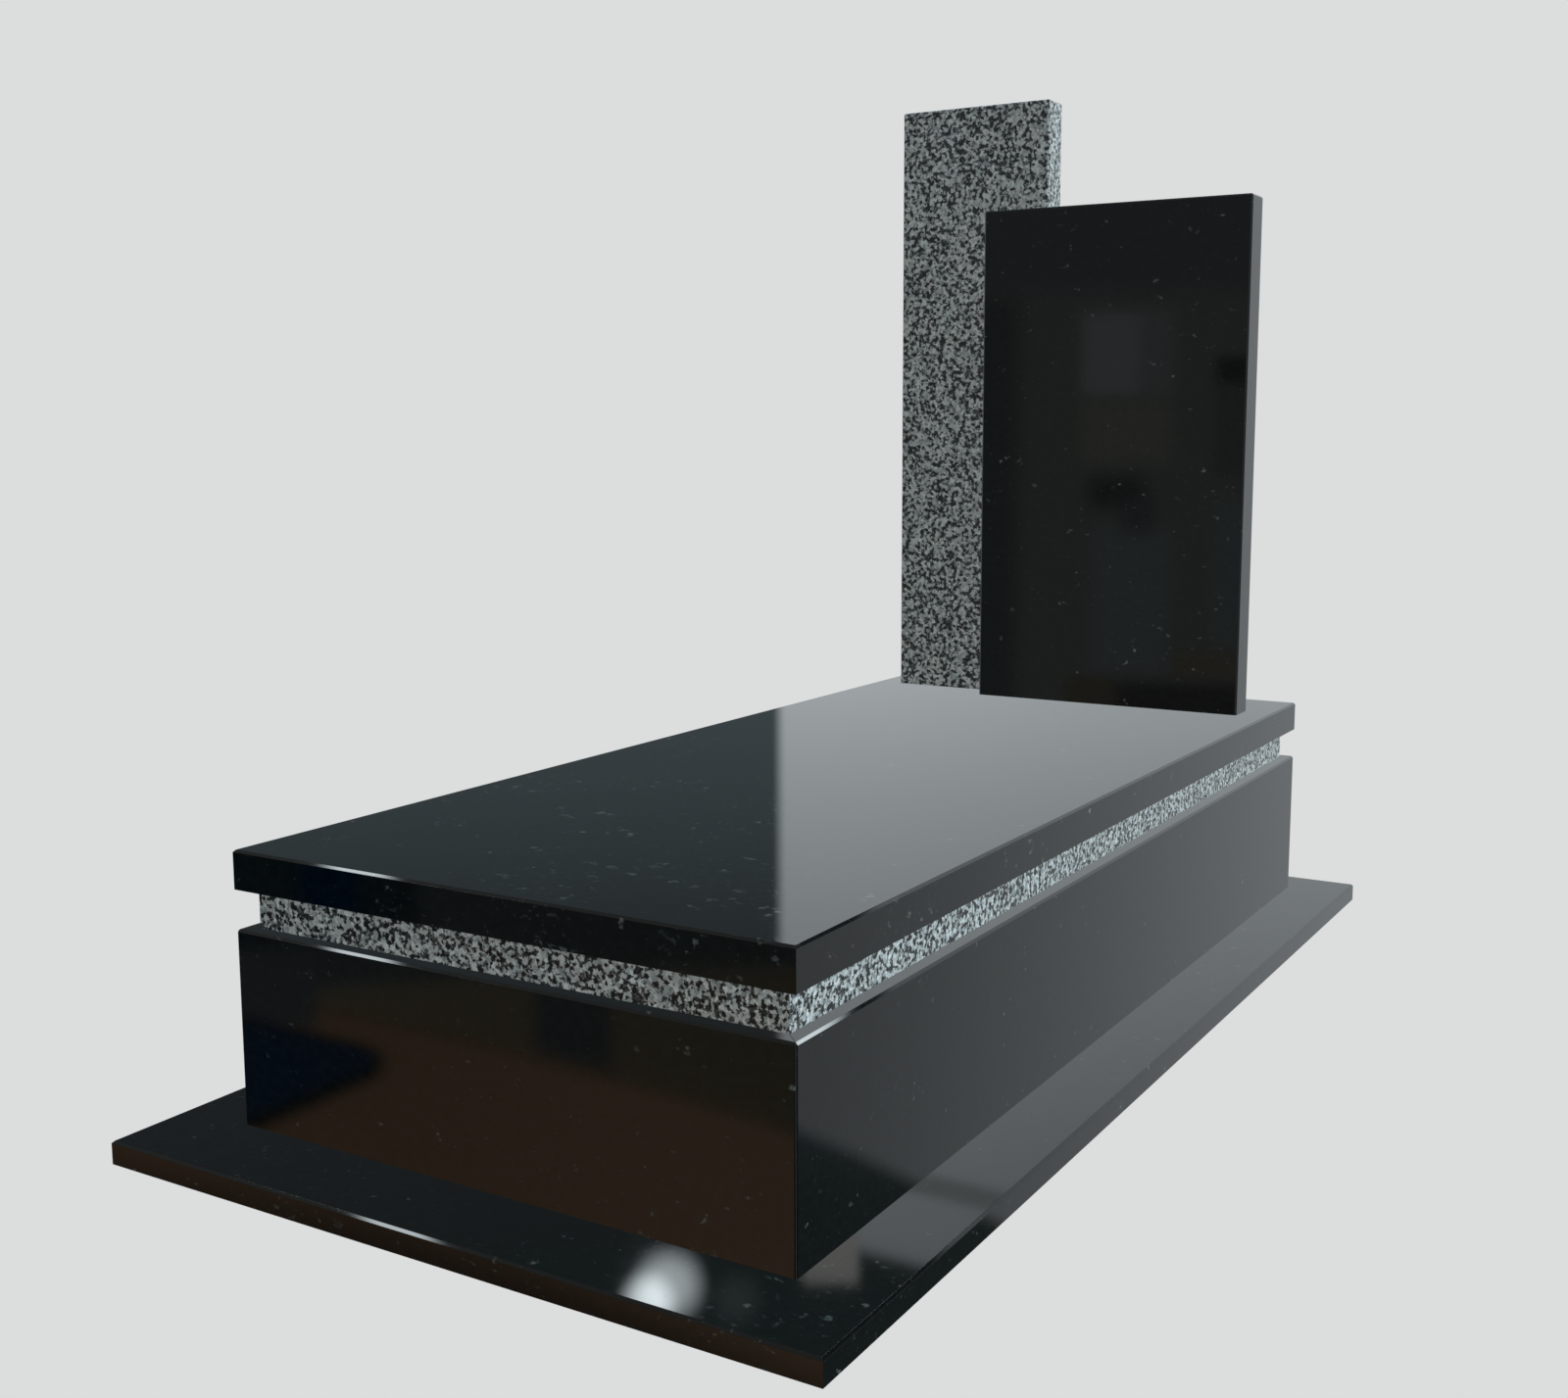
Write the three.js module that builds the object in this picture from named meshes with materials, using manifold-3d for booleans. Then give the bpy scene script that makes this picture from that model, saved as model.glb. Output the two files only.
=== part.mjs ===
// A single grave monument of polished granite slabs, with two headstones at its head end.
// Millimetres, +Z up, +X to the right seen from the foot end, +Y from the foot to the head.
// The origin is on the ground, under the middle of the base slab.
import * as THREE from 'three';
import { ConvexGeometry } from 'three/addons/geometries/ConvexGeometry.js';
import { mergeVertices } from 'three/addons/utils/BufferGeometryUtils.js';
import Module from 'manifold-3d';

// Chest of four upright slabs, mitred at the corners
const chestWidth = 800;
const chestLength = 1800;
const chestHeight = 250;
const chestWall = 50;

// Base slab, and how far it stands out past the chest
const baseThickness = 30;
const baseSideMargin = 100;
const baseFootMargin = 120;
const baseHeadMargin = 80;

// Grey band of four mitred strips, set back between the chest and the cover
const bandInset = 20;
const bandHeight = 50;
const bandThickness = 30;

// Cover slab, as wide and as long as the chest
const coverThickness = 50;

// Tall headstone, nearest to the head end
const tallWidth = 300;
const tallThickness = 60;
const tallHeight = 1100;

// Wide headstone, standing against the front of the tall one
const wideWidth = 500;
const wideThickness = 60;
const wideHeight = 900;

// Places of the headstones, from the edges of the cover
const headstoneSideMargin = 50;
const headstoneHeadMargin = 80;

// Width of a chamfered arris along each of its two faces, and the open joint of a mitre
const arris = 3;
const mitreJoint = 0.5;

const manifold = await Module();
manifold.setup();

// Dark granite with a mirror polish
function blackGranite() {
  return new THREE.MeshStandardMaterial({ color: 0x15191a, roughness: 0.06, metalness: 0 });
}

// Light grey granite with black grains, also polished
function greyGranite() {
  return new THREE.MeshStandardMaterial({ color: 0x878f91, roughness: 0.16, metalness: 0 });
}

function piece(name, geometry, material) {
  const mesh = new THREE.Mesh(geometry, material);
  mesh.name = name;
  return mesh;
}

// The corners of a level rectangle, each cut off at 45 degrees where a cut is given
function ring(width, length, cut, level) {
  const points = [];
  for (const [sideX, sideY] of [[-1, -1], [1, -1], [1, 1], [-1, 1]]) {
    points.push(new THREE.Vector3(sideX * (width / 2 - cut), sideY * length / 2, level));
    if (cut > 0) {
      points.push(new THREE.Vector3(sideX * width / 2, sideY * (length / 2 - cut), level));
    }
  }
  return points;
}

// A block standing on z = 0 with its top arrises chamfered, and its upright ones by cornerCut
function dressedBlock(width, length, height, cornerCut = 0) {
  return new ConvexGeometry([
    ...ring(width, length, cornerCut, 0),
    ...ring(width, length, cornerCut, height - arris),
    ...ring(width - 2 * arris, length - 2 * arris, 0, height),
  ]);
}

function toSolid(geometry) {
  const bare = geometry.clone();
  bare.deleteAttribute('normal');
  bare.deleteAttribute('uv');
  const merged = mergeVertices(bare);
  return new manifold.Manifold(new manifold.Mesh({
    numProp: 3,
    vertProperties: new Float32Array(merged.attributes.position.array),
    triVerts: new Uint32Array(merged.index.array),
  }));
}

function toGeometry(solid) {
  const mesh = solid.getMesh();
  const shared = new THREE.BufferGeometry();
  shared.setAttribute('position', new THREE.BufferAttribute(mesh.vertProperties, 3));
  shared.setIndex(new THREE.BufferAttribute(mesh.triVerts, 1));
  const flat = shared.toNonIndexed();
  flat.computeVertexNormals();
  return flat;
}

// One side of a frame, seen from above along its foot edge: a trapezium with mitres for its ends.
// It runs out past the block by one wall, so that only its inner face and its mitres cut.
function mitredSide(run, across, height, wall) {
  const gap = mitreJoint / Math.SQRT2;
  const outer = run / 2 + wall - gap;
  const inner = run / 2 - wall - gap;
  const plan = new THREE.Shape([
    new THREE.Vector2(-outer, -across / 2 - wall),
    new THREE.Vector2(outer, -across / 2 - wall),
    new THREE.Vector2(inner, -across / 2 + wall),
    new THREE.Vector2(-inner, -across / 2 + wall),
  ]);
  const side = new THREE.ExtrudeGeometry(plan, { depth: height + 2 * wall, bevelEnabled: false });
  return side.translate(0, 0, -wall);
}

// The four sides of a hollow frame, cut out of a block that stands on z = 0
function mitredFrame(block, width, length, height, wall) {
  const solid = toSolid(block);
  const sides = {};
  ['foot', 'right', 'head', 'left'].forEach((side, quarterTurns) => {
    const [run, across] = quarterTurns % 2 === 0 ? [width, length] : [length, width];
    const cutter = mitredSide(run, across, height, wall).rotateZ(quarterTurns * Math.PI / 2);
    sides[side] = toGeometry(solid.intersect(toSolid(cutter)));
  });
  return sides;
}

function baseSlab() {
  const width = chestWidth + 2 * baseSideMargin;
  const length = chestLength + baseFootMargin + baseHeadMargin;
  return piece('base_slab', dressedBlock(width, length, baseThickness), blackGranite());
}

function chest() {
  const block = dressedBlock(chestWidth, chestLength, chestHeight, arris);
  const group = new THREE.Group();
  const sides = mitredFrame(block, chestWidth, chestLength, chestHeight, chestWall);
  for (const [side, geometry] of Object.entries(sides)) {
    group.add(piece(`chest_${side}_wall`, geometry, blackGranite()));
  }
  return group;
}

// The strips have plain sharp edges
function band() {
  const width = chestWidth - 2 * bandInset;
  const length = chestLength - 2 * bandInset;
  const block = new THREE.BoxGeometry(width, length, bandHeight).translate(0, 0, bandHeight / 2);
  const group = new THREE.Group();
  const sides = mitredFrame(block, width, length, bandHeight, bandThickness);
  for (const [side, geometry] of Object.entries(sides)) {
    group.add(piece(`band_${side}_strip`, geometry, greyGranite()));
  }
  return group;
}

function coverSlab() {
  return piece('cover_slab', dressedBlock(chestWidth, chestLength, coverThickness), blackGranite());
}

// Both stand on z = 0 here, which is the top of the cover
function headstones() {
  const tallBack = chestLength / 2 - headstoneHeadMargin;
  const tallFront = tallBack - tallThickness;
  const tall = piece(
    'tall_grey_headstone',
    dressedBlock(tallWidth, tallThickness, tallHeight, arris),
    greyGranite(),
  );
  tall.position.x = -chestWidth / 2 + headstoneSideMargin + tallWidth / 2;
  tall.position.y = tallBack - tallThickness / 2;

  const wide = piece(
    'wide_black_headstone',
    dressedBlock(wideWidth, wideThickness, wideHeight, arris),
    blackGranite(),
  );
  wide.position.x = chestWidth / 2 - headstoneSideMargin - wideWidth / 2;
  wide.position.y = tallFront - wideThickness / 2;

  const group = new THREE.Group();
  group.add(tall, wide);
  return group;
}

// The base is centred on the origin, and what it carries lies nearer to its head end
function stoneWork() {
  const carried = new THREE.Group();
  carried.position.y = (baseFootMargin - baseHeadMargin) / 2;
  let level = baseThickness;
  for (const [course, height] of [
    [chest(), chestHeight],
    [band(), bandHeight],
    [coverSlab(), coverThickness],
    [headstones(), tallHeight],
  ]) {
    course.position.z = level;
    level += height;
    carried.add(course);
  }
  return carried;
}

const monument = new THREE.Group();
monument.add(baseSlab(), stoneWork());

export default monument;
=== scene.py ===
"""A single grave monument of polished granite slabs, with two headstones at its head end."""
import itertools
import math

import bpy
import numpy as np
from mathutils import Euler, Matrix, Vector


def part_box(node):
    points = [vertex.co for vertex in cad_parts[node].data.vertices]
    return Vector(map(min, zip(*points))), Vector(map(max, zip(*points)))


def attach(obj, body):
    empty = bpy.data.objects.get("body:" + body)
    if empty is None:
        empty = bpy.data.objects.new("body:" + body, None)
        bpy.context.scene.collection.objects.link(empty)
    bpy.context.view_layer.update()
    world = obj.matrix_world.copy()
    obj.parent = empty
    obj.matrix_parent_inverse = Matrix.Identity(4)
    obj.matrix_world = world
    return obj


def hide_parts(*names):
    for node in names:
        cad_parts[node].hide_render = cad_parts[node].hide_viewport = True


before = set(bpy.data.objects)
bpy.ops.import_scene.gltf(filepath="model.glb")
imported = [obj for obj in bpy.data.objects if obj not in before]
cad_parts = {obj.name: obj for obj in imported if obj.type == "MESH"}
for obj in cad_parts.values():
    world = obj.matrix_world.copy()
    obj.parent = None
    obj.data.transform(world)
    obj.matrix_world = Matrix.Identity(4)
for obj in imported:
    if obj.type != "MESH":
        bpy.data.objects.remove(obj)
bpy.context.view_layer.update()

# Base slab
# The lowest stone: one wide slab of black granite that lies flat on the ground.
# It is sawn to size, polished on its top and edges, and its top arrises are chamfered.

arris = 0.003
slab_easing = 0.0004


def block_faces(low, high, arris, upright_arrises):
    """Faces of a level block, a row each of the face's unit direction and its distance from the origin.

    A direction has 1, 0 or -1 along each axis before it is made a unit. One nonzero number gives a
    side, two a chamfered arris and three a cut corner. Each face touches the box's own corner on its
    side, less the chamfer. Only the top has arrises, and the uprights where they are asked for.
    """
    signs = np.array([sign for sign in itertools.product((-1, 0, 1), repeat=3) if any(sign)])
    count = np.abs(signs).sum(axis=1)
    wanted = (count == 1) | ((count == 2) & (signs[:, 2] == 1))
    if upright_arrises:
        wanted |= ((count == 2) & (signs[:, 2] == 0)) | ((count == 3) & (signs[:, 2] == 1))
    if arris == 0:
        wanted = count == 1
    signs = signs[wanted]
    length = np.sqrt(count[wanted])
    corners = np.where(signs > 0, high, low) * np.abs(signs)
    distance = (signs * corners).sum(axis=1) - arris * (count[wanted] - 1)
    return np.column_stack([signs / length[:, None], distance / length])


def stone_corners(faces):
    """The points where three face planes meet and which lie on or behind every other face."""
    triples = faces[list(itertools.combinations(range(len(faces)), 3))]
    triples = triples[np.abs(np.linalg.det(triples[:, :, :3])) > 1e-6]
    points = np.linalg.solve(triples[:, :, :3], triples[:, :, 3:])[:, :, 0]
    behind = (points @ faces[:, :3].T <= faces[:, 3] + 1e-8).all(axis=1)
    return np.unique(points[behind].round(8), axis=0)


def eased_surface(faces, easing):
    """A closed surface over a convex stone, with every edge rounded to the easing radius in metres.

    Its two parameters are the latitude and the longitude of a direction. The point for a direction
    is the corner that lies farthest that way, on the stone with each face moved in by the radius,
    moved out again by the radius along the direction. Directions stand in close pairs about those
    of the faces, so that the step from one of a pair to the other spans the flat face.
    Returns points, the directions as their normals, and the faces as lists of points.
    """
    eighths = np.arange(8)
    longitude = (45 * eighths[:, None] + [-0.01, 0.01, 15, 30]).ravel()
    longitude_step = (3 * eighths[:, None] + [0, 0, 1, 2]).ravel()
    corner_cut = math.degrees(math.asin(1 / math.sqrt(3)))
    latitude = np.array([-89.99, -60, -30, -0.01, 0.01, 12, 24, corner_cut - 0.01, corner_cut + 0.01,
                         44.99, 45.01, 60, 75, 89.99])
    latitude_step = np.array([0, 1, 2, 3, 3, 4, 5, 6, 6, 7, 7, 8, 9, 10])
    across, up = np.meshgrid(np.radians(longitude), np.radians(latitude))
    direction = np.stack([np.cos(up) * np.cos(across), np.cos(up) * np.sin(across), np.sin(up)], -1)
    corners = stone_corners(faces - [0, 0, 0, easing])
    farthest = (direction @ corners.T).argmax(axis=-1)
    points = corners[farthest] + easing * direction

    at_pole = np.abs(latitude) > 89
    around = np.where(at_pole[:, None], 0, longitude_step[None, :])
    level = np.broadcast_to(latitude_step[:, None], around.shape)
    keys = np.stack([farthest, level, around], -1).reshape(-1, 3)
    _, first, joined = np.unique(keys, axis=0, return_index=True, return_inverse=True)
    joined = joined.reshape(around.shape)

    onward = np.roll(joined, -1, axis=1)
    quads = np.stack([joined[:-1], onward[:-1], onward[1:], joined[1:]], -1).reshape(-1, 4)
    outlines = quads.tolist() + [joined[0, ::-1].tolist(), joined[-1].tolist()]
    polygons = [list(dict.fromkeys(outline)) for outline in outlines]
    polygons = [polygon for polygon in polygons if len(polygon) > 2]
    return points.reshape(-1, 3)[first], direction.reshape(-1, 3)[first], polygons


def dressed_stone(node, faces, easing, sawn_sides, material):
    """Builds the stone that replaces a node. Flat faces towards a sawn side carry sawn = 1."""
    points, normals, polygons = eased_surface(faces, easing)
    mesh = bpy.data.meshes.new(node + "_stone")
    mesh.from_pydata(points, [], polygons)
    mesh.polygons.foreach_set("use_smooth", np.ones(len(polygons), dtype=bool))
    facing = np.empty(3 * len(polygons))
    mesh.polygons.foreach_get("normal", facing)
    sawn = (facing.reshape(-1, 3) @ np.array(sawn_sides, float).T > 0.999).any(axis=1)
    mesh.attributes.new("sawn", "FLOAT", "FACE").data.foreach_set("value", sawn.astype(float))
    mesh.normals_split_custom_set_from_vertices(normals)
    mesh.materials.append(material)
    stone = bpy.data.objects.new(node + "_stone", mesh)
    bpy.context.scene.collection.objects.link(stone)
    stone.visible_glossy = False
    stone.visible_diffuse = False
    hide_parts(node)
    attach(stone, "root")


class Wire:
    """An output of a shader node. Sums, products and the like on wires add their Math nodes."""

    def __init__(self, tree, socket):
        self.tree = tree
        self.socket = socket

    def node(self, kind, settings, inputs, output=0):
        """Adds a node of the kind, sets its settings, then the values or wires of its sockets."""
        made = self.tree.nodes.new(kind)
        for name, value in settings.items():
            setattr(made, name, value)
        for name, value in inputs.items():
            if isinstance(value, Wire):
                self.tree.links.new(value.socket, made.inputs[name])
            else:
                made.inputs[name].default_value = value
        return Wire(self.tree, made.outputs[output])

    def twin(self, output):
        """Another output of the same node."""
        return Wire(self.tree, self.socket.node.outputs[output])

    def math(self, operation, *others, clamp=False):
        """A Math node with this wire first."""
        inputs = dict(enumerate((self, *others)))
        return self.node("ShaderNodeMath", {"operation": operation, "use_clamp": clamp}, inputs)

    def vector(self, operation, inputs, output=0):
        """A Vector Math node with this wire first."""
        settings = {"operation": operation}
        return self.node("ShaderNodeVectorMath", settings, {0: self, **inputs}, output)

    def __add__(self, other):
        return self.math("ADD", other)

    def __sub__(self, other):
        return self.math("SUBTRACT", other)

    def __rsub__(self, other):
        return (self * -1).math("ADD", other)

    def __mul__(self, other):
        return self.math("MULTIPLY", other)

    def clamped(self):
        """This wire kept between 0 and 1."""
        return self.math("ADD", 0.0, clamp=True)

    def step(self, low, high):
        """0 below low, 1 above high, and a smooth slope between them."""
        return self.node(
            "ShaderNodeMapRange",
            {"interpolation_type": "SMOOTHSTEP"},
            {"Value": self, "From Min": low, "From Max": high},
        )

    def blend(self, under, over):
        """The colour under where this wire is 0, and the colour over where it is 1.

        Sockets 0, 6 and 7 of the Mix node are its factor and its two colours, and output 2 the
        mixed colour.
        """
        return self.node("ShaderNodeMix", {"data_type": "RGBA"}, {0: self, 6: under, 7: over}, 2)


def stone_finish(name):
    """A new material, the sockets of its shader, and its place on the stone in metres."""
    material = bpy.data.materials.new(name)
    material.use_nodes = True
    tree = material.node_tree
    shader = tree.nodes["Principled BSDF"]
    coordinates = tree.nodes.new("ShaderNodeTexCoord")
    return material, shader, Wire(tree, coordinates.outputs["Object"])


def black_granite(name, shift, crowd):
    """Near-black polished granite with ragged pale and teal flecks, on sawn faces grey.

    A fleck is where a noise rises high. It rises by up to crowd more where a broad noise is high,
    so the flecks stand in swarms.
    """
    material, shader, place = stone_finish(name)
    block = place.vector("ADD", {1: shift}).vector("MULTIPLY", {1: (0.85, 1.0, 1.2)})
    broad = block.node("ShaderNodeTexNoise", {}, {"Vector": block, "Scale": 8.0, "Detail": 2.0})
    swarm = broad.step(0.42, 0.62) * crowd
    shard = block.node(
        "ShaderNodeTexNoise",
        {},
        {"Vector": block, "Scale": 62.0, "Detail": 2.0, "Roughness": 0.6},
    )
    grit = block.node("ShaderNodeTexNoise", {}, {"Vector": block, "Scale": 150.0, "Detail": 2.0})
    shards = (shard + swarm).step(0.685, 0.80)
    grits = (grit + swarm).step(0.67, 0.80)

    tint = block.node("ShaderNodeTexNoise", {}, {"Vector": block, "Scale": 35.0, "Detail": 2.0})
    depth = tint.step(0.40, 0.68)
    tints = tint.node("ShaderNodeSeparateColor", {}, {"Color": tint.twin("Color")})
    warmth = tints.twin("Green").step(0.48, 0.56)
    pale = warmth.blend((0.135, 0.170, 0.164, 1), (0.22, 0.21, 0.19, 1))
    shard_tone = depth.blend((0.021, 0.030, 0.030, 1), pale)
    grit_tone = depth.blend((0.013, 0.020, 0.020, 1), (0.042, 0.056, 0.054, 1))

    mottle = block.node("ShaderNodeTexNoise", {}, {"Vector": block, "Scale": 90.0, "Detail": 4.0})
    body = mottle.step(0.35, 0.7).blend((0.0022, 0.0027, 0.0028, 1), (0.0050, 0.0062, 0.0064, 1))
    colour = shards.blend(grits.blend(body, grit_tone), shard_tone)

    sawn = block.node("ShaderNodeAttribute", {"attribute_name": "sawn"}, {}, "Fac")
    sawn_colour = mottle.step(0.2, 0.8).blend((0.050, 0.054, 0.055, 1), (0.082, 0.086, 0.086, 1))
    polish = mottle * 0.012 + grits * 0.03 + shards * 0.05 + 0.028
    tree = material.node_tree
    tree.links.new(sawn.blend(colour, sawn_colour).socket, shader.inputs["Base Color"])
    tree.links.new((polish + sawn * 0.7).clamped().socket, shader.inputs["Roughness"])
    return material


base_low, base_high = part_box("base_slab")
dressed_stone(
    "base_slab",
    block_faces(base_low, base_high, arris, False),
    slab_easing,
    [(0, 0, -1)],
    black_granite("black_granite_base", (0.47, 1.22, 0.0), 0.065),
)

# Chest
# Four upright slabs of black granite on the base, closed into a hollow box by mitred corners.
# The outer arrises are chamfered and polished, and the inner faces and mitres are left sawn.

chest_wall = 0.05
mitre_joint = 0.0005
wall_easing = 0.0002
up = np.array([0.0, 0.0, 1.0])
outward_of = {"foot": (0, -1, 0), "right": (1, 0, 0), "head": (0, 1, 0), "left": (-1, 0, 0)}


def frame_box(name):
    """Lowest and highest corners of the four sides of a frame together."""
    boxes = np.array([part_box(name.format(side)) for side in outward_of])
    return boxes[:, 0].min(axis=0), boxes[:, 1].max(axis=0)


def mitred_faces(low, high, arris, upright_arrises, outward, wall):
    """Faces of one side of a frame: those of the whole block, its inner face and its two mitres.

    A mitre's plane holds the block's upright corner edge and runs at 45 degrees to the side. It is
    moved in by half the open joint.
    """
    outward = np.array(outward, float)
    outer = (outward * np.where(outward > 0, high, low)).sum()
    rows = [np.append(-outward, wall - outer)]
    sawn = [-outward, -up]
    for along in (np.cross(up, outward), np.cross(outward, up)):
        corner = np.where(along + outward > 0, high, low) * [1, 1, 0]
        direction = (along - outward) / math.sqrt(2)
        rows.append(np.append(direction, direction @ corner - mitre_joint / 2))
        sawn.append(direction)
    return np.vstack([block_faces(low, high, arris, upright_arrises), rows]), sawn


chest_low, chest_high = frame_box("chest_{}_wall")
for number, (side, outward) in enumerate(outward_of.items()):
    wall_faces, sawn_sides = mitred_faces(chest_low, chest_high, arris, True, outward, chest_wall)
    dressed_stone(
        f"chest_{side}_wall",
        wall_faces,
        wall_easing,
        sawn_sides,
        black_granite(f"black_granite_chest_{side}", (0.37 * number + 0.2, 0.0, 0.61), 0.028),
    )

# Band
# Four thin strips of light grey granite, set back on the chest and mitred at the corners.
# They carry the cover, and their edges are left sharp.

strip_thickness = 0.03


def grey_granite(name, shift, fineness, contrast, share):
    """Polished granite of pale feldspar and grey quartz in a connected net of black grains.

    Fineness is the number of noise cells of the net to a metre, and the grains are finer still.
    Contrast, at most 1, is how far the tones keep away from a middle grey. Share is added to the
    net, so that more of it turns black.
    """
    grain_fineness = fineness * 1.35
    middle = 0.31

    def muted(*parts):
        """A colour drawn toward the middle grey by what the contrast lacks of 1."""
        return [middle + contrast * (part - middle) for part in parts] + [1]

    material, shader, place = stone_finish(name)
    block = place.vector("ADD", {1: shift})
    wander = block.node("ShaderNodeTexNoise", {}, {"Vector": block, "Scale": 420.0, "Detail": 2.0})
    ragged = wander.twin("Color").vector("SUBTRACT", {1: (0.5, 0.5, 0.5)})
    ragged = ragged.vector("SCALE", {"Scale": 0.004}).vector("ADD", {1: block})

    net = block.node(
        "ShaderNodeTexNoise",
        {},
        {"Vector": ragged, "Scale": fineness, "Detail": 2.0, "Roughness": 0.5},
    )
    grain = block.node("ShaderNodeTexVoronoi", {}, {"Vector": ragged, "Scale": grain_fineness})
    chance = grain.node("ShaderNodeSeparateColor", {}, {"Color": grain.twin("Color")})
    dark = (net + chance * 0.22 + share).step(0.563, 0.670)

    cloud = block.node("ShaderNodeTexNoise", {}, {"Vector": block, "Scale": 45.0, "Detail": 2.0})
    pale = chance.twin("Green").blend(muted(0.44, 0.485, 0.482), muted(0.86, 0.92, 0.915))
    warm = (chance.twin("Blue") * 0.5 + cloud).step(0.78, 0.92)
    pale = (warm * 0.3).blend(pale, muted(0.65, 0.60, 0.54))
    cool = chance.twin("Blue").step(0.30, 0.12)
    pale = (cool * 0.7).blend(pale, muted(0.26, 0.30, 0.31))
    green = chance.twin("Green").step(0.4, 1.0)
    mica = green.blend(muted(0.010, 0.012, 0.013), muted(0.08, 0.088, 0.088))
    colour = dark.blend(pale, mica)

    sawn = block.node("ShaderNodeAttribute", {"attribute_name": "sawn"}, {}, "Fac")
    sawn_colour = (sawn * 0.35).blend(colour, (0.42, 0.43, 0.42, 1))
    tree = material.node_tree
    tree.links.new(sawn_colour.socket, shader.inputs["Base Color"])
    tree.links.new((dark * 0.08 + sawn * 0.6 + 0.10).socket, shader.inputs["Roughness"])
    return material


band_low, band_high = frame_box("band_{}_strip")
for number, (side, outward) in enumerate(outward_of.items()):
    strip_faces, sawn_sides = mitred_faces(band_low, band_high, 0.0, False, outward, strip_thickness)
    dressed_stone(
        f"band_{side}_strip",
        strip_faces,
        wall_easing,
        sawn_sides + [up],
        grey_granite(f"grey_granite_band_{side}", (0.0, 0.29 * number, 0.43), 142.0, 1.0, 0.0),
    )

# Cover slab
# One slab of black granite as wide and as long as the chest, which closes the grave.
# It lies on the band by its own weight, with chamfered top arrises and a sawn underside.

cover_low, cover_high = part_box("cover_slab")
dressed_stone(
    "cover_slab",
    block_faces(cover_low, cover_high, arris, False),
    slab_easing,
    [(0, 0, -1)],
    black_granite("black_granite_cover", (0.47, 0.61, 0.0), 0.08),
)

# Headstones
# Two upright slabs that stand on the cover: a wide one of black granite in front, bare on its
# face, and behind it a taller narrow one of grey granite. All faces but the feet are polished.

black_finish = black_granite("black_granite_headstone", (0.4, 0.0, 0.8), 0.035)
grey_finish = grey_granite("grey_granite_headstone", (0.1, 0.5, 0.0), 138.0, 0.93, -0.005)
for node, finish, slot in (
    ("wide_black_headstone", black_finish, "black_granite"),
    ("tall_grey_headstone", grey_finish, "grey_granite"),
):
    low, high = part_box(node)
    dressed_stone(
        node,
        block_faces(low, high, arris, True),
        slab_easing,
        [(0, 0, -1)],
        finish,
    )

# Floor
# A plain pale studio floor of the same tone as the backdrop, so that no horizon shows.

backdrop = (0.7157, 0.7230, 0.7230, 1)
floor_half = 30.0
floor_mesh = bpy.data.meshes.new("studio_floor")
floor_mesh.from_pydata(
    [(-floor_half, -floor_half, 0), (floor_half, -floor_half, 0),
     (floor_half, floor_half, 0), (-floor_half, floor_half, 0)],
    [],
    [(0, 1, 2, 3)],
)
floor = bpy.data.objects.new("studio_floor", floor_mesh)
bpy.context.scene.collection.objects.link(floor)
floor_material = bpy.data.materials.new("studio_floor")
floor_material.use_nodes = True
floor_shader = floor_material.node_tree.nodes["Principled BSDF"]
floor_shader.inputs["Base Color"].default_value = (0, 0, 0, 1)
floor_shader.inputs["Specular IOR Level"].default_value = 0.0
floor_shader.inputs["Emission Color"].default_value = backdrop
floor_shader.inputs["Emission Strength"].default_value = 1.0
floor_mesh.materials.append(floor_material)
floor.visible_glossy = False
floor.visible_diffuse = False

# Studio light
# A large room with soft panels for light, painted by compass bearing and height in degrees.
# Bearing 0 is over the head end and 90 over the right side, and bearings run on from the seam.

seam = -230
world = bpy.data.worlds.new("studio")
world.use_nodes = True
bpy.context.scene.world = world
room = world.node_tree
sky = Wire(room, room.nodes.new("ShaderNodeTexCoord").outputs["Generated"])
axes = sky.node("ShaderNodeSeparateXYZ", {}, {0: sky})
bearing = axes.math("ARCTAN2", axes.twin("Y")) * math.degrees(1) - seam
bearing = bearing.math("FLOORED_MODULO", 360.0) + seam
height = axes.twin("Z").math("ARCSINE") * math.degrees(1)


def above(across, level, slope, soft):
    """1 above a line and 0 below it, with an edge soft degrees wide.

    The line passes the height level at the bearing across and climbs by slope for each degree.
    """
    over = height - level - (bearing - across) * slope
    return over.step(-soft / 2, soft / 2)


def panel(left, right, bottom, top, soft, slope=0.0):
    """1 inside a patch of bearings and heights and 0 outside. Bottom and top may climb by a slope."""
    middle = (left + right) / 2
    inside = bearing.step(left - soft / 2, left + soft / 2)
    inside = inside * bearing.step(right + soft / 2, right - soft / 2)
    return inside * above(middle, bottom, slope, soft) * (1 - above(middle, top, slope, soft))


def lamp(across, level, radius, soft):
    """1 inside a round lamp about a bearing and height, fading to 0 over soft degrees at its rim."""
    flat = math.cos(math.radians(level))
    centre = (
        flat * math.sin(math.radians(across)),
        flat * math.cos(math.radians(across)),
        math.sin(math.radians(level)),
    )
    cosine = sky.vector("DOT_PRODUCT", {1: centre}, "Value")
    return (cosine.math("ARCCOSINE") * math.degrees(1)).step(radius, radius - soft)


def tinted(light, red, blue):
    """The colour of a light of varying strength, with red and blue as shares of its green."""
    return light.node("ShaderNodeCombineColor", {}, {0: light * red, 1: light, 2: light * blue})


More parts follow.
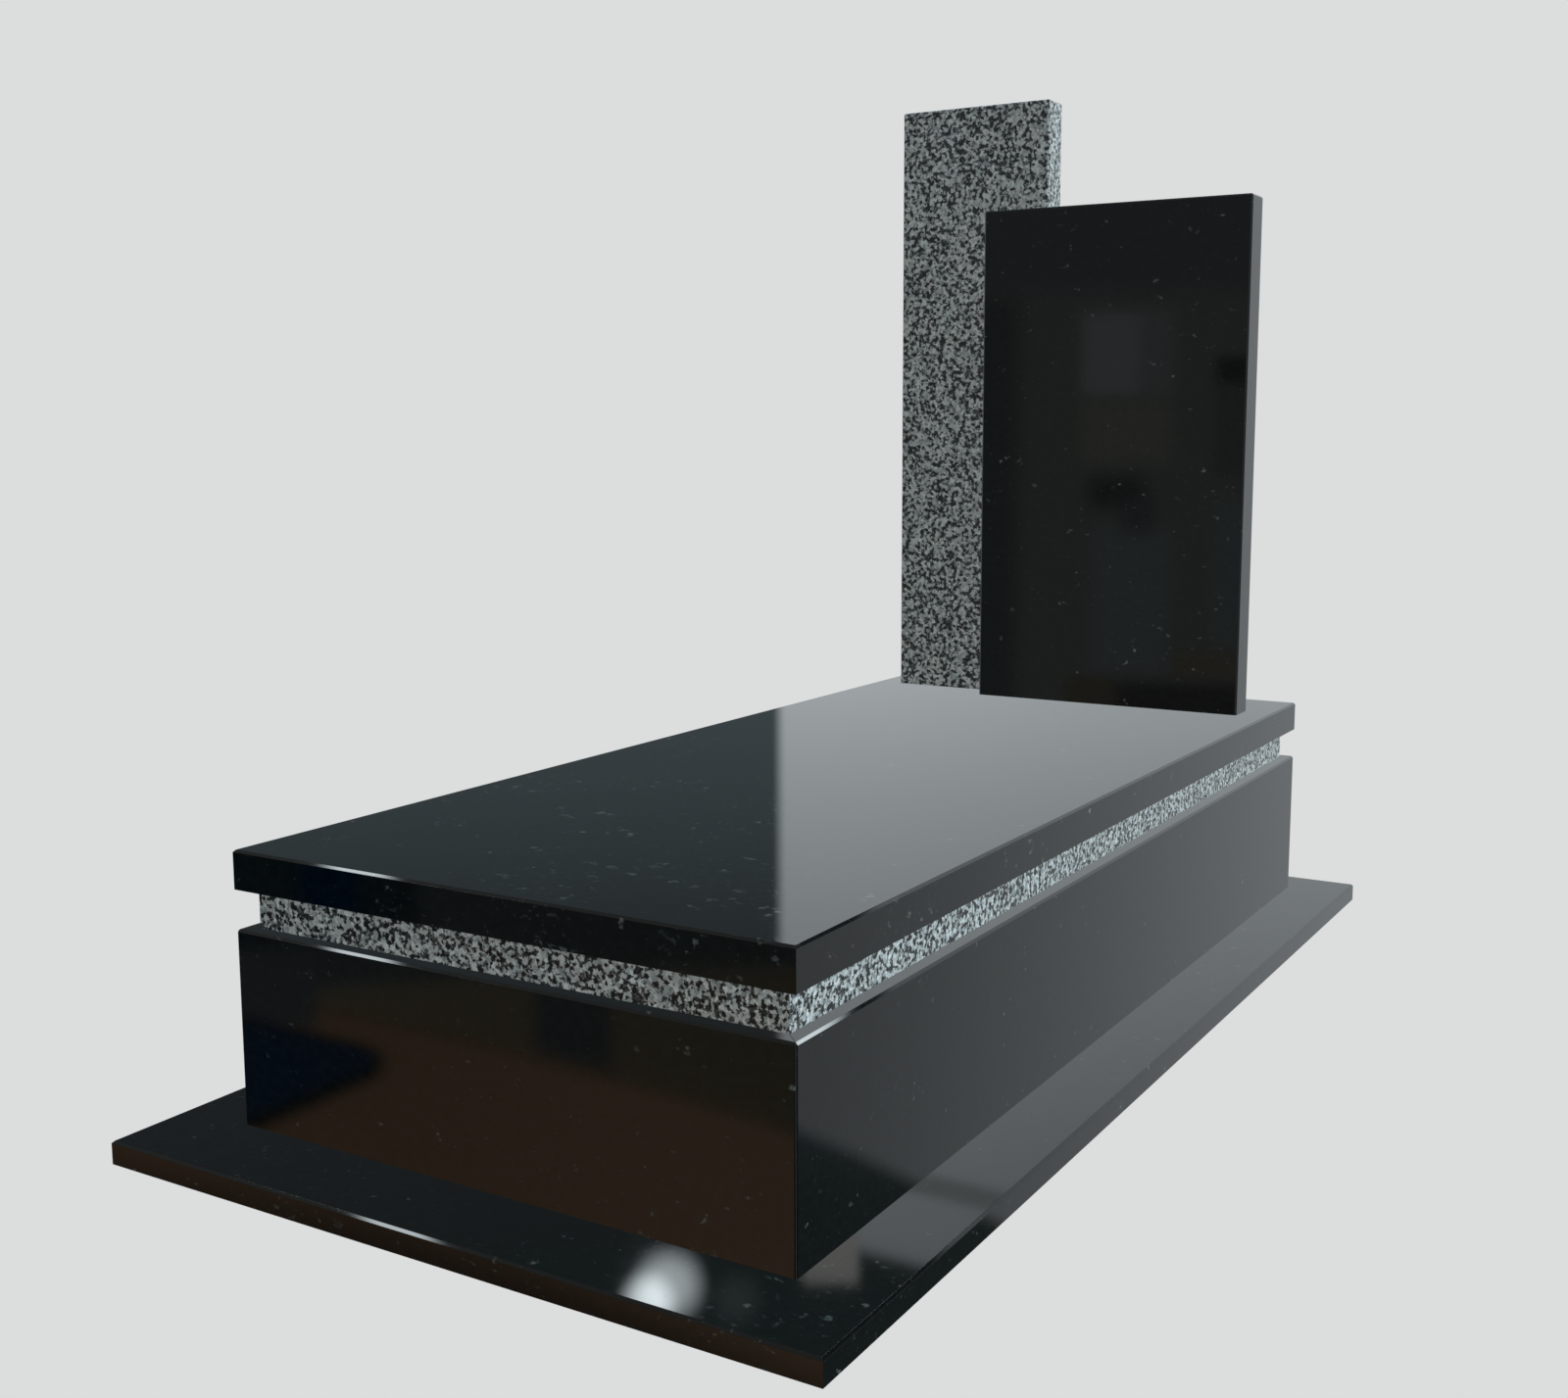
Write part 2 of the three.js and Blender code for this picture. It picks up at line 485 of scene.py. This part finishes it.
# The dim walls and ceiling of the room, a softly lit panel on the left, and the dark floor
walls = height.step(11, 20).blend((0.096, 0.124, 0.135, 1), (0.066, 0.082, 0.088, 1))
ceiling = height.step(25, 50).blend((0.055, 0.082, 0.082, 1), (0.22, 0.25, 0.26, 1))
dark_floor = (0.052, 0.071, 0.071, 1)
tone = height.step(24, 28).blend(walls, ceiling)
tone = panel(-145, -100, 30, 80, 4).blend(tone, (0.27, 0.28, 0.27, 1))
tone = height.step(-21, -25).blend(tone, dark_floor)

# The end wall opposite the camera and the long wall on the right are bright. They grow lighter
# upward and away from the corner between them.
lowest_light = 0.442
gain_upward = height.step(-34, 16) * 0.262
loss_at_top = height.step(15, 25) * 0.05
gain_at_left = bearing.step(-16, -31) * 0.186
gain_at_right = bearing.step(-14, 10) * 0.045
loss_at_corner = bearing.step(12, 33) * 0.274
gain_on_long_wall = bearing.step(36, 60) * 0.33
gain_at_upper_right = height.step(4, 18) * bearing.step(0, 10) * 0.4
bright = (gain_upward + lowest_light) * (1 - loss_at_top)
bright = bright * (gain_at_left + gain_at_right + 1)
bright = bright * (1 - loss_at_corner + gain_on_long_wall)
bright = bright * (gain_at_upper_right + 1)
bright_tone = tinted(bright, 0.92, 1.035)

# Foot and top of the bright walls lie level up to bearing 18, slant from there to bearing 36,
# and are level again. Further right the foot drops out of sight.
along = bearing.math("MAXIMUM", 18.0).math("MINIMUM", 36.0)
foot_of_wall = along * 0.385 - 34.28 - bearing.step(60, 85) * 14
top_of_wall = 34.6 - along * 0.4
bright_part = (height - foot_of_wall).step(-0.4, 0.4) * (top_of_wall - height).step(-0.5, 0.5)
bright_part = bright_part * bearing.step(-31.7, -31.2) * bearing.step(110, 104)
bright_part = bright_part * (1 - above(-26.6, 26.4, 0.2, 0.6))
tone = bright_part.blend(tone, bright_tone)

# A pale patch at the end wall's upper left corner, and a darker slit under its top edge
tone = panel(-30.7, -28.8, 25, 26.95, 0.5).blend(tone, (0.68, 0.68, 0.66, 1))
tone = panel(-29, -22, 23.85, 24.5, 0.35, 0.18).blend(tone, (0.40, 0.44, 0.45, 1))

# Behind the camera an olive wall, and below it a strip and a floor in brown
olive_left = -232
olive_right = -150
olive_foot = -17.0
olive_top = 26
tone = panel(olive_left, olive_right, olive_foot, olive_top, 1.0).blend(tone, (0.265, 0.290, 0.270, 1))
tone = panel(olive_right, -124, -17.4, -8.6, 1.0).blend(tone, (0.086, 0.104, 0.102, 1))
tone = panel(olive_left, -104, -60, -17.4, 0.8).blend(tone, (0.210, 0.178, 0.118, 1))
edge_of_floor = bearing.math("MAXIMUM", -170.0) * 0.29 + 20.78
floor_part = bearing.step(-103, -105) * (edge_of_floor - height).step(-0.4, 0.4)
floor_tone = bearing.step(-132, -150).blend((0.29, 0.178, 0.108, 1), (0.415, 0.268, 0.168, 1))
tone = floor_part.blend(tone, (0.105, 0.076, 0.050, 1))
tone = (floor_part * above(-140.0, -26.5, 0.36, 2.0)).blend(tone, floor_tone)
room_tone = tone

# The rest shows in the polish only. First soft panels overhead and on the left
tone = height.step(68, 82).blend(tone, (0.72, 0.76, 0.77, 1))
tone = panel(-98, -64, -30, 14, 4).blend(tone, (0.36, 0.39, 0.40, 1))

# The upper part of the olive wall is bluer, and its right end darker
tone = panel(olive_left, olive_right, 4.1, olive_top, 0.9).blend(tone, (0.200, 0.228, 0.248, 1))
tone = panel(-156.2, olive_right, olive_foot, 4.0, 1.0).blend(tone, (0.150, 0.178, 0.175, 1))

# Plain patches on its right half, from the top down
tone = panel(-161.0, -158.1, 0.9, 3.6, 0.6).blend(tone, (0.345, 0.385, 0.385, 1))
tone = panel(-159.9, -158.2, 1.0, 3.4, 0.5).blend(tone, (0.445, 0.490, 0.520, 1))
tone = panel(-160.9, -158.2, -1.2, 0.7, 0.6).blend(tone, (0.360, 0.375, 0.330, 1))
tone = panel(-161.0, -158.6, -7.8, -3.2, 0.8).blend(tone, (0.300, 0.355, 0.370, 1))
tone = panel(-160.2, -158.4, -2.6, -1.6, 0.9).blend(tone, (0.115, 0.120, 0.120, 1))
tone = panel(-160.5, -159.5, -3.4, -2.2, 0.9).blend(tone, (0.165, 0.190, 0.200, 1))

# Plain patches on its left half, and dark ones along its foot
bay_left = -170
bay_right = -162.3
tone = panel(bay_left, bay_right, -7.0, -2.3, 0.6).blend(tone, (0.265, 0.325, 0.320, 1))
tone = panel(bay_left, bay_right, -1.6, 2.0, 0.5).blend(tone, (0.200, 0.225, 0.220, 1))
tone = panel(bay_left, bay_right, 1.3, 2.1, 0.4).blend(tone, (0.090, 0.095, 0.095, 1))
tone = panel(bay_left, -161.2, -7.9, -7.1, 0.5).blend(tone, (0.290, 0.265, 0.210, 1))
tone = panel(-178, -159.2, olive_foot, -8.1, 0.5).blend(tone, (0.110, 0.112, 0.105, 1))
tone = panel(-159.4, -157.8, olive_foot, -8.0, 0.5).blend(tone, (0.230, 0.210, 0.160, 1))

# A dark blue-green recess to the right of the olive wall, and two grey ledges below
tone = panel(-136.7, -120, -15.9, -12.0, 0.9).blend(tone, (0.024, 0.045, 0.052, 1))
tone = panel(-134.9, -133.0, -15.9, -12.0, 0.9).blend(tone, (0.000, 0.026, 0.075, 1))
tone = panel(-142.9, -140.4, -20.1, -17.6, 0.8, 0.29).blend(tone, (0.090, 0.104, 0.110, 1))
tone = panel(-133.4, -124, -18.1, -16.0, 0.8, 0.1).blend(tone, (0.095, 0.112, 0.123, 1))

# A dark blue wedge on the floor, with a blunt tip and a nearly black rim
rim = above(-135.0, -20.3, -0.32, 0.7) * (1 - above(-135.4, -19.4, 0.33, 0.7))
rim = rim * bearing.step(-135.9, -134.9) * bearing.step(-130.2, -130.8)
tone = rim.blend(tone, (0.022, 0.028, 0.026, 1))
blue = above(-135.0, -19.9, -0.29, 0.5) * (1 - above(-135.4, -19.5, 0.33, 0.5))
blue = blue * bearing.step(-135.6, -134.7) * bearing.step(-130.2, -130.8)
tone = blue.blend(tone, (0.018, 0.045, 0.088, 1))

# Lamps: a soft round one beyond the head end, which shows on the top of the base, and two long
# ones, which show as highlights on the arrises
lamps = lamp(-36.0, 27.4, 1.1, 0.9) * 5.2 + lamp(-35.3, 26.95, 1.35, 1.0) * 2.8
lamps = lamps + lamp(-33.0, 27.4, 1.1, 1.0) * 0.10
lamps = lamps + panel(-126, -107, 40.9, 42.8, 0.9, 0.19) * 9.5
lamps = lamps + panel(20.9, 32, 27.85, 32, 1.1) * 9.0
mirrored = tone.vector("ADD", {1: tinted(lamps, 0.9, 1.04)})

# The camera sees a plain backdrop, the polish mirrors the room with its lamps, and the room
# without them lights the stones, more strongly than it shows in the polish and most from the right
room_light = 1.47
gain_from_right = 1.15
from_right = bearing.step(30, 60) * bearing.step(130, 110)
strength = (from_right * gain_from_right + 1) * room_light
tint = from_right.blend((0.965, 1.0, 1.11, 1), (0.98, 1.0, 1.02, 1))
cool = room_tone.vector("MULTIPLY", {1: tint})
camera_ray = Wire(room, room.nodes.new("ShaderNodeLightPath").outputs["Is Camera Ray"])
glossy_ray = camera_ray.twin("Is Glossy Ray")
lit = cool.node("ShaderNodeBackground", {}, {"Color": cool, "Strength": strength})
mirror = cool.node("ShaderNodeBackground", {}, {"Color": mirrored})
plain = cool.node("ShaderNodeBackground", {}, {"Color": backdrop})
unseen = cool.node("ShaderNodeMixShader", {}, {0: glossy_ray, 1: lit, 2: mirror})
seen = cool.node("ShaderNodeMixShader", {}, {0: camera_ray, 1: unseen, 2: plain})
room.links.new(seen.socket, room.nodes["World Output"].inputs["Surface"])

# Camera
# It stands at the foot end, to the right, and looks slightly down along the monument.

sensor_width = 36.0
image_width = 1600
image_height = 1427
focal_pixels = 1810.0
centre_column = 812.14
centre_row = 689.73
camera_place = (1.27285, -2.33731, 0.88977)
camera_heading = 30.905
camera_pitch = -8.024
camera_roll = -0.137

camera_data = bpy.data.cameras.new("camera")
camera_data.sensor_width = sensor_width
camera_data.lens = sensor_width * focal_pixels / image_width
camera_data.shift_x = (image_width / 2 - centre_column) / image_width
camera_data.shift_y = (centre_row - image_height / 2) / image_width
camera_data.clip_end = 200.0
camera = bpy.data.objects.new("camera", camera_data)
aim = Euler((math.radians(90 + camera_pitch), 0, math.radians(camera_heading))).to_matrix()
aim = aim @ Matrix.Rotation(math.radians(camera_roll), 3, "Z")
camera.matrix_world = Matrix.Translation(Vector(camera_place)) @ aim.to_4x4()
bpy.context.scene.collection.objects.link(camera)
bpy.context.scene.camera = camera
bpy.context.scene.view_settings.view_transform = "Standard"
